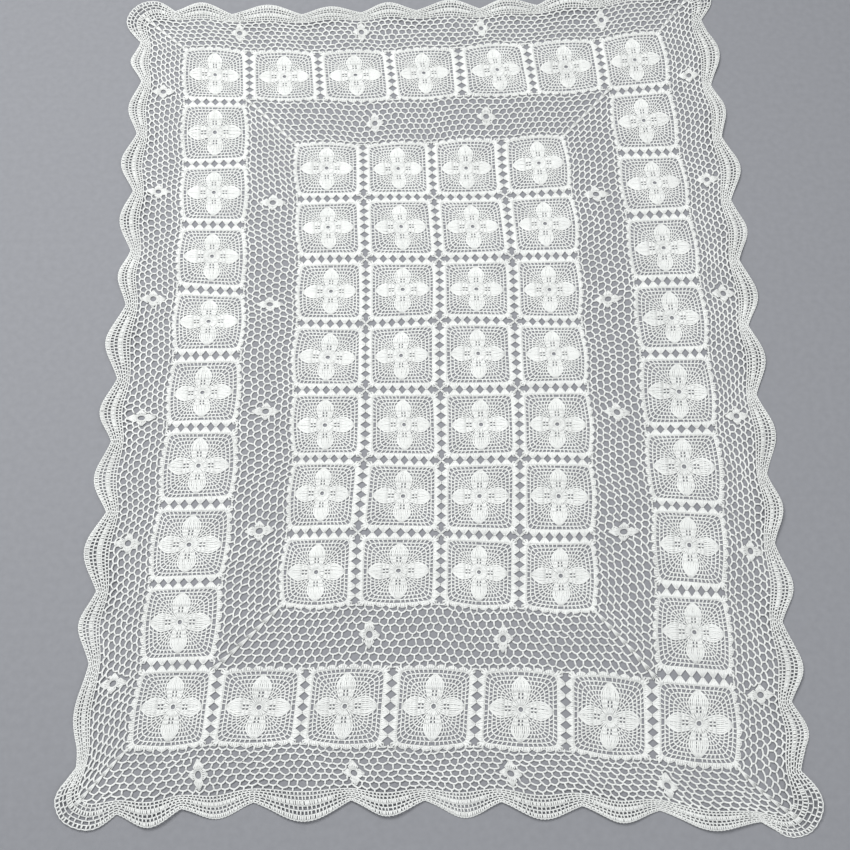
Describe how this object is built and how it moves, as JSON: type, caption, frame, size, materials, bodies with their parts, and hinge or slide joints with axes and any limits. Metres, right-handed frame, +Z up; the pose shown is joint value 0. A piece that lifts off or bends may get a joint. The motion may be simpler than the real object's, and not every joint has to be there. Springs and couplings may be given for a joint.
{
  "type": "crocheted lace throw",
  "caption": "Openwork crocheted throw lying open: a field and a frame of square flower motifs, joined by an inner net and edged by an outer net with scallops.",
  "frame": {"origin": "on the floor, under the middle of the whole throw's box", "axes": "+Y along the length, from the foot to the head; +X across the width; +Z up, through the cloth"},
  "size_m": [1.2234, 1.7258, 0.0038],
  "materials": {
    "motif_cotton": "matte",
    "net_cotton": "matte"
  },
  "bodies": {
    "root": {"field_motif_r1_c1": "motif_cotton", "field_motif_r1_c2": "motif_cotton", "field_motif_r1_c3": "motif_cotton", "field_motif_r1_c4": "motif_cotton", "field_motif_r2_c1": "motif_cotton", "field_motif_r2_c2": "motif_cotton", "field_motif_r2_c3": "motif_cotton", "field_motif_r2_c4": "motif_cotton", "field_motif_r3_c1": "motif_cotton", "field_motif_r3_c2": "motif_cotton", "field_motif_r3_c3": "motif_cotton", "field_motif_r3_c4": "motif_cotton", "field_motif_r4_c1": "motif_cotton", "field_motif_r4_c2": "motif_cotton", "field_motif_r4_c3": "motif_cotton", "field_motif_r4_c4": "motif_cotton", "field_motif_r5_c1": "motif_cotton", "field_motif_r5_c2": "motif_cotton", "field_motif_r5_c3": "motif_cotton", "field_motif_r5_c4": "motif_cotton", "field_motif_r6_c1": "motif_cotton", "field_motif_r6_c2": "motif_cotton", "field_motif_r6_c3": "motif_cotton", "field_motif_r6_c4": "motif_cotton", "field_motif_r7_c1": "motif_cotton", "field_motif_r7_c2": "motif_cotton", "field_motif_r7_c3": "motif_cotton", "field_motif_r7_c4": "motif_cotton", "inner_net": "net_cotton", "frame_motif_r1_c1": "motif_cotton", "frame_motif_r1_c2": "motif_cotton", "frame_motif_r1_c3": "motif_cotton", "frame_motif_r1_c4": "motif_cotton", "frame_motif_r1_c5": "motif_cotton", "frame_motif_r1_c6": "motif_cotton", "frame_motif_r1_c7": "motif_cotton", "frame_motif_r2_c1": "motif_cotton", "frame_motif_r2_c7": "motif_cotton", "frame_motif_r3_c1": "motif_cotton", "frame_motif_r3_c7": "motif_cotton", "frame_motif_r4_c1": "motif_cotton", "frame_motif_r4_c7": "motif_cotton", "frame_motif_r5_c1": "motif_cotton", "frame_motif_r5_c7": "motif_cotton", "frame_motif_r6_c1": "motif_cotton", "frame_motif_r6_c7": "motif_cotton", "frame_motif_r7_c1": "motif_cotton", "frame_motif_r7_c7": "motif_cotton", "frame_motif_r8_c1": "motif_cotton", "frame_motif_r8_c7": "motif_cotton", "frame_motif_r9_c1": "motif_cotton", "frame_motif_r9_c7": "motif_cotton", "frame_motif_r10_c1": "motif_cotton", "frame_motif_r10_c2": "motif_cotton", "frame_motif_r10_c3": "motif_cotton", "frame_motif_r10_c4": "motif_cotton", "frame_motif_r10_c5": "motif_cotton", "frame_motif_r10_c6": "motif_cotton", "frame_motif_r10_c7": "motif_cotton", "outer_border": "net_cotton"}
  },
  "joints": []
}
